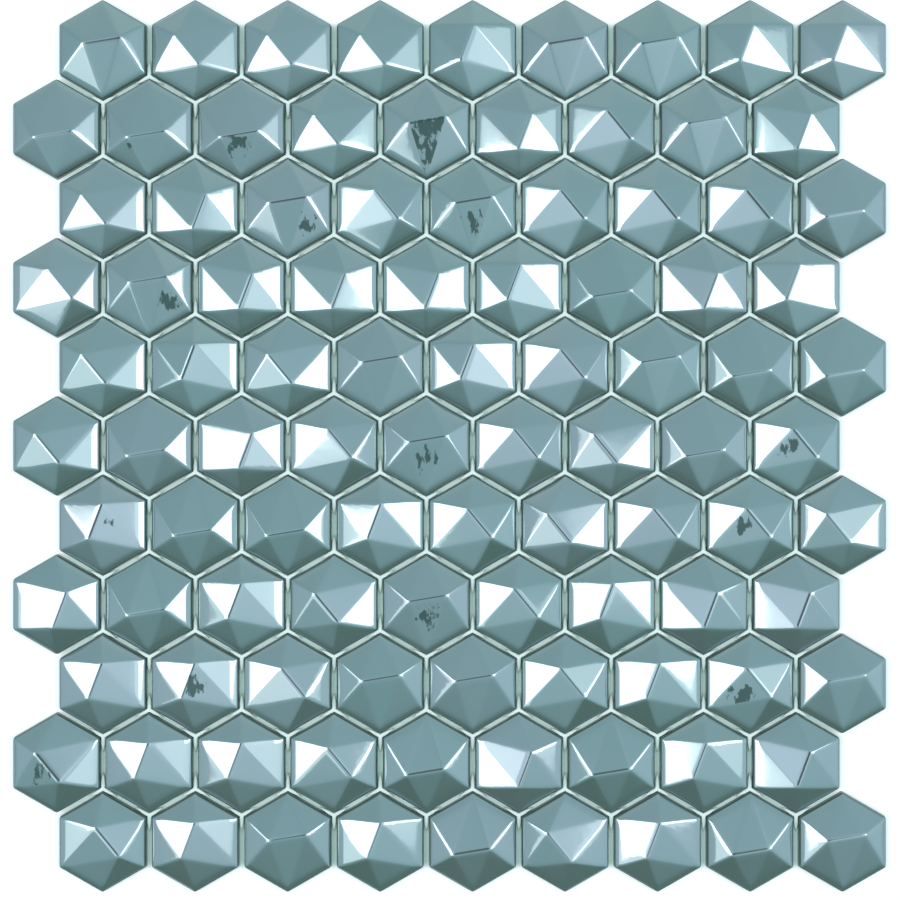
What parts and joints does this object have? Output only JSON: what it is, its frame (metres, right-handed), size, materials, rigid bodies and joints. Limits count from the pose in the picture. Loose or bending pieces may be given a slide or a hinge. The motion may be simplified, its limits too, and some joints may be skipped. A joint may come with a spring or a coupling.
{
  "type": "hexagon glass mosaic tile sheet",
  "caption": "Mosaic sheet of faceted, pearl-coated hexagon glass chips in staggered rows, held at even joints by small soft dots, to bond to a wall as tiling.",
  "frame": {"origin": "middle of the sheet's back, on the plane of the chips' flat backs", "axes": "+Z out of the faceted face, +Y towards the top row, +X along the rows"},
  "size_m": [0.3056, 0.3122, 0.008],
  "materials": {
    "pearl_glass": "pressed and polished, with a pearl coat",
    "joint_dot": "soft, satin"
  },
  "bodies": {
    "root": {"glass_chips_row_01": "pearl_glass", "glass_chips_row_02": "pearl_glass", "glass_chips_row_03": "pearl_glass", "glass_chips_row_04": "pearl_glass", "glass_chips_row_05": "pearl_glass", "glass_chips_row_06": "pearl_glass", "glass_chips_row_07": "pearl_glass", "glass_chips_row_08": "pearl_glass", "glass_chips_row_09": "pearl_glass", "glass_chips_row_10": "pearl_glass", "glass_chips_row_11": "pearl_glass", "joint_dots_01": "joint_dot", "joint_dots_02": "joint_dot", "joint_dots_03": "joint_dot", "joint_dots_04": "joint_dot", "joint_dots_05": "joint_dot", "joint_dots_06": "joint_dot", "joint_dots_07": "joint_dot", "joint_dots_08": "joint_dot", "joint_dots_09": "joint_dot", "joint_dots_10": "joint_dot"}
  },
  "joints": []
}
